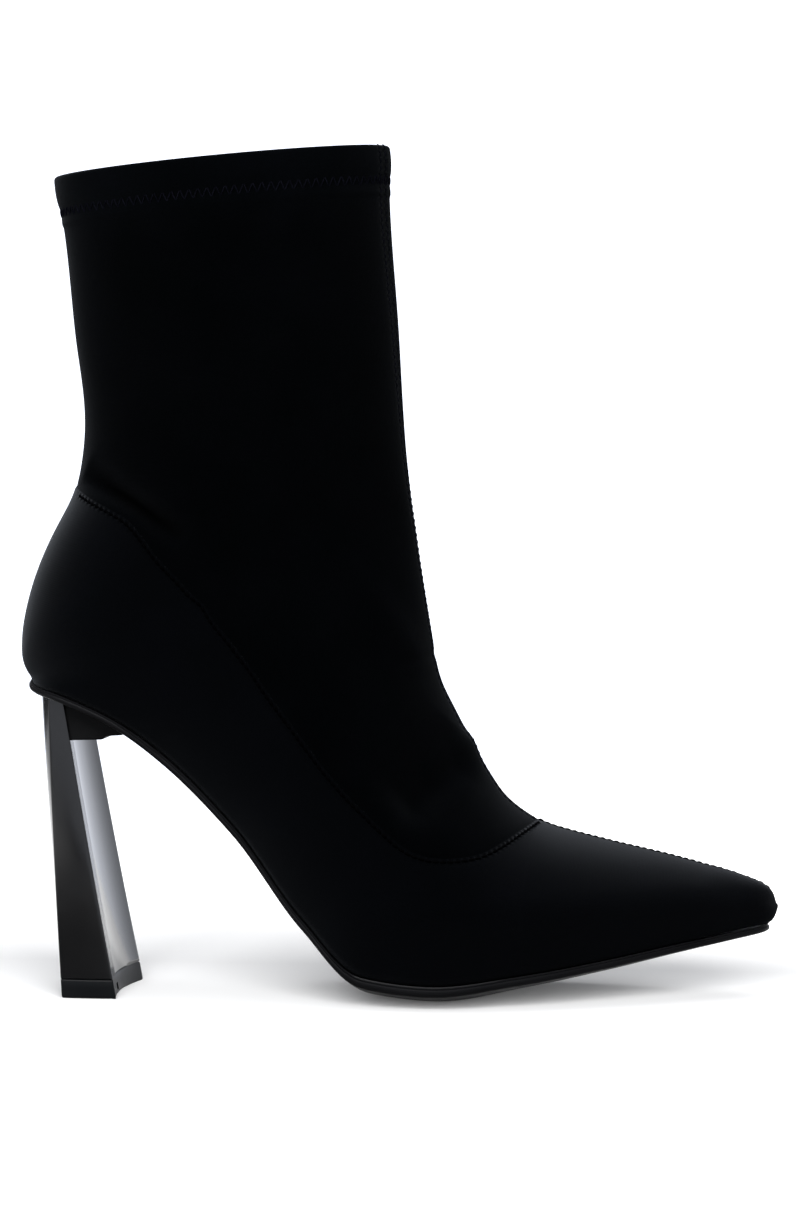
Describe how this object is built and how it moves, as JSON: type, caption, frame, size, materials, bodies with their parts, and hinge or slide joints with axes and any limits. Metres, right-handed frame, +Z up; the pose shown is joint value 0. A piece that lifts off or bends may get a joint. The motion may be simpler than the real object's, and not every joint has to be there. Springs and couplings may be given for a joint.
{
  "type": "ankle boot",
  "caption": "Pointed-toe black ankle boot with a stretch scuba-cloth shaft, a low-cut seamed vamp, a thin arched sole and a high slim heel that flares to the floor.",
  "frame": {"origin": "floor level, halfway between the toe tip and the back of the heel bulge, on the middle line of the ball", "axes": "+X to the toe, +Y to the inner side of the right foot, +Z up from the floor to the collar"},
  "size_m": [0.2284, 0.0778, 0.2549],
  "materials": {
    "neoprene_upper": "matte black scuba cloth",
    "neoprene_shaft": "matte black scuba cloth",
    "sole_rubber": "satin black",
    "insole_cloth": "matte black lining cloth",
    "heel_gloss": "gloss black",
    "tip_rubber": "satin black"
  },
  "bodies": {
    "root": {"upper": "neoprene_upper", "shaft": "neoprene_shaft", "outsole": "sole_rubber", "insole": "insole_cloth", "heel": "heel_gloss", "heel_tip": "tip_rubber"}
  },
  "joints": []
}
